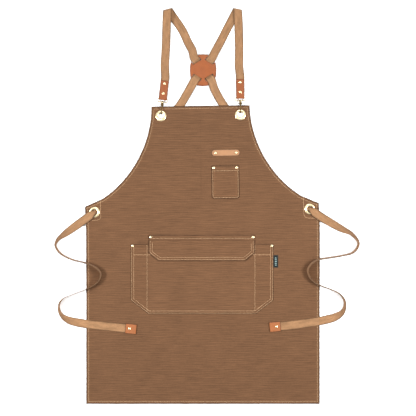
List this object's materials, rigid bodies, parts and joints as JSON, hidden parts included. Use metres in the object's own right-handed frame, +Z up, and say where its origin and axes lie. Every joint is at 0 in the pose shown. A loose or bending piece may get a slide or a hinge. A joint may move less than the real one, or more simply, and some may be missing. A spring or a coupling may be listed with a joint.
{
  "type": "apron",
  "caption": "Brown canvas butcher apron with a cross-back webbing harness, leather patch, snap hooks, flapped pouch pocket, chest pocket and free waist ties, lying flat.",
  "frame": {"origin": "bottom centre of the box of everything but the free waist ties, on the surface the apron lies on", "axes": "+X to the right of the apron as it is seen from the front, +Y from the hem to the bib and harness, +Z up out of the front face"},
  "size_m": [0.8943, 1.1696, 0.0297],
  "materials": {
    "canvas": "brown cotton canvas with a ribbed weave",
    "webbing": "tan twill cotton webbing",
    "russet_leather": "smooth russet leather, satin",
    "pale_leather": "pale tan leather, satin",
    "pale_brass": "pale gold plated, polished",
    "old_brass": "darkened brass, satin",
    "tag_cloth": "dark green woven label, plain"
  },
  "bodies": {
    "root": {"apron_panel": "canvas", "pouch_pocket": "canvas", "flap_band": "canvas", "chest_pocket": "canvas", "waist_facing_left": "canvas", "waist_facing_right": "canvas", "badge_strip": "pale_leather", "cross_patch": "russet_leather", "pouch_rivet_left": "pale_brass", "flap_band_rivet_left": "pale_brass", "chest_pocket_rivet_left": "pale_brass", "badge_rivet_left": "pale_brass", "bib_eyelet_left": "pale_brass", "waist_eyelet_left": "pale_brass", "strap_loop_left": "pale_brass", "tie_rivet_left": "pale_brass", "bib_eyelet_left_washer": "pale_brass", "waist_eyelet_left_washer": "pale_brass", "tab_rivet_left_1": "pale_brass", "tab_rivet_left_2": "pale_brass", "shoulder_tab_left": "russet_leather", "tie_tip_left": "russet_leather", "harness_strap_left": "webbing", "waist_tie_left": "webbing", "pouch_rivet_right": "pale_brass", "flap_band_rivet_right": "pale_brass", "chest_pocket_rivet_right": "pale_brass", "badge_rivet_right": "pale_brass", "bib_eyelet_right": "pale_brass", "waist_eyelet_right": "pale_brass", "strap_loop_right": "pale_brass", "tie_rivet_right": "pale_brass", "bib_eyelet_right_washer": "pale_brass", "waist_eyelet_right_washer": "pale_brass", "tab_rivet_right_1": "pale_brass", "tab_rivet_right_2": "pale_brass", "shoulder_tab_right": "russet_leather", "tie_tip_right": "russet_leather", "harness_strap_right": "webbing", "waist_tie_right": "webbing"},
    "flap": {"pocket_flap": "canvas"},
    "tag": {"side_tag": "tag_cloth"},
    "hook_left": {"hook_body_left": "pale_brass", "hook_gate_pin_left": "old_brass"},
    "gate_left": {"hook_gate_left": "pale_brass"},
    "hook_right": {"hook_body_right": "pale_brass", "hook_gate_pin_right": "old_brass"},
    "gate_right": {"hook_gate_right": "pale_brass"}
  },
  "joints": [
    {"name": "pocket_flap_hinge", "type": "hinge", "parent": "root", "child": "flap", "pos_m": [-0.00221, -0.09769, 0.00848], "axis": [-1, 0, 0], "range_deg": [0, 150]},
    {"name": "side_tag_hinge", "type": "hinge", "parent": "root", "child": "tag", "pos_m": [0.20954, -0.16319, 0.00481], "axis": [0, -0.9995, -0.033], "range_deg": [0, 120]},
    {"name": "hook_swivel_left", "type": "hinge", "parent": "root", "child": "hook_left", "pos_m": [-0.12269, 0.26579, 0.00889], "axis": [0.1132, 0.9936, 0], "range_deg": [-12, 15]},
    {"name": "hook_gate_hinge_left", "type": "hinge", "parent": "hook_left", "child": "gate_left", "pos_m": [-0.11912, 0.29709, 0.01564], "axis": [0.9936, -0.1132, 0], "range_deg": [0, 25], "stiffness_Nm_per_rad": 0.02, "springref_deg": -5.73},
    {"name": "hook_swivel_right", "type": "hinge", "parent": "root", "child": "hook_right", "pos_m": [0.11189, 0.26932, 0.00889], "axis": [-0.0087, 1, 0], "range_deg": [-15, 15]},
    {"name": "hook_gate_hinge_right", "type": "hinge", "parent": "hook_right", "child": "gate_right", "pos_m": [0.11161, 0.30081, 0.01564], "axis": [1, 0.0087, 0], "range_deg": [0, 25], "stiffness_Nm_per_rad": 0.02, "springref_deg": -5.73}
  ]
}
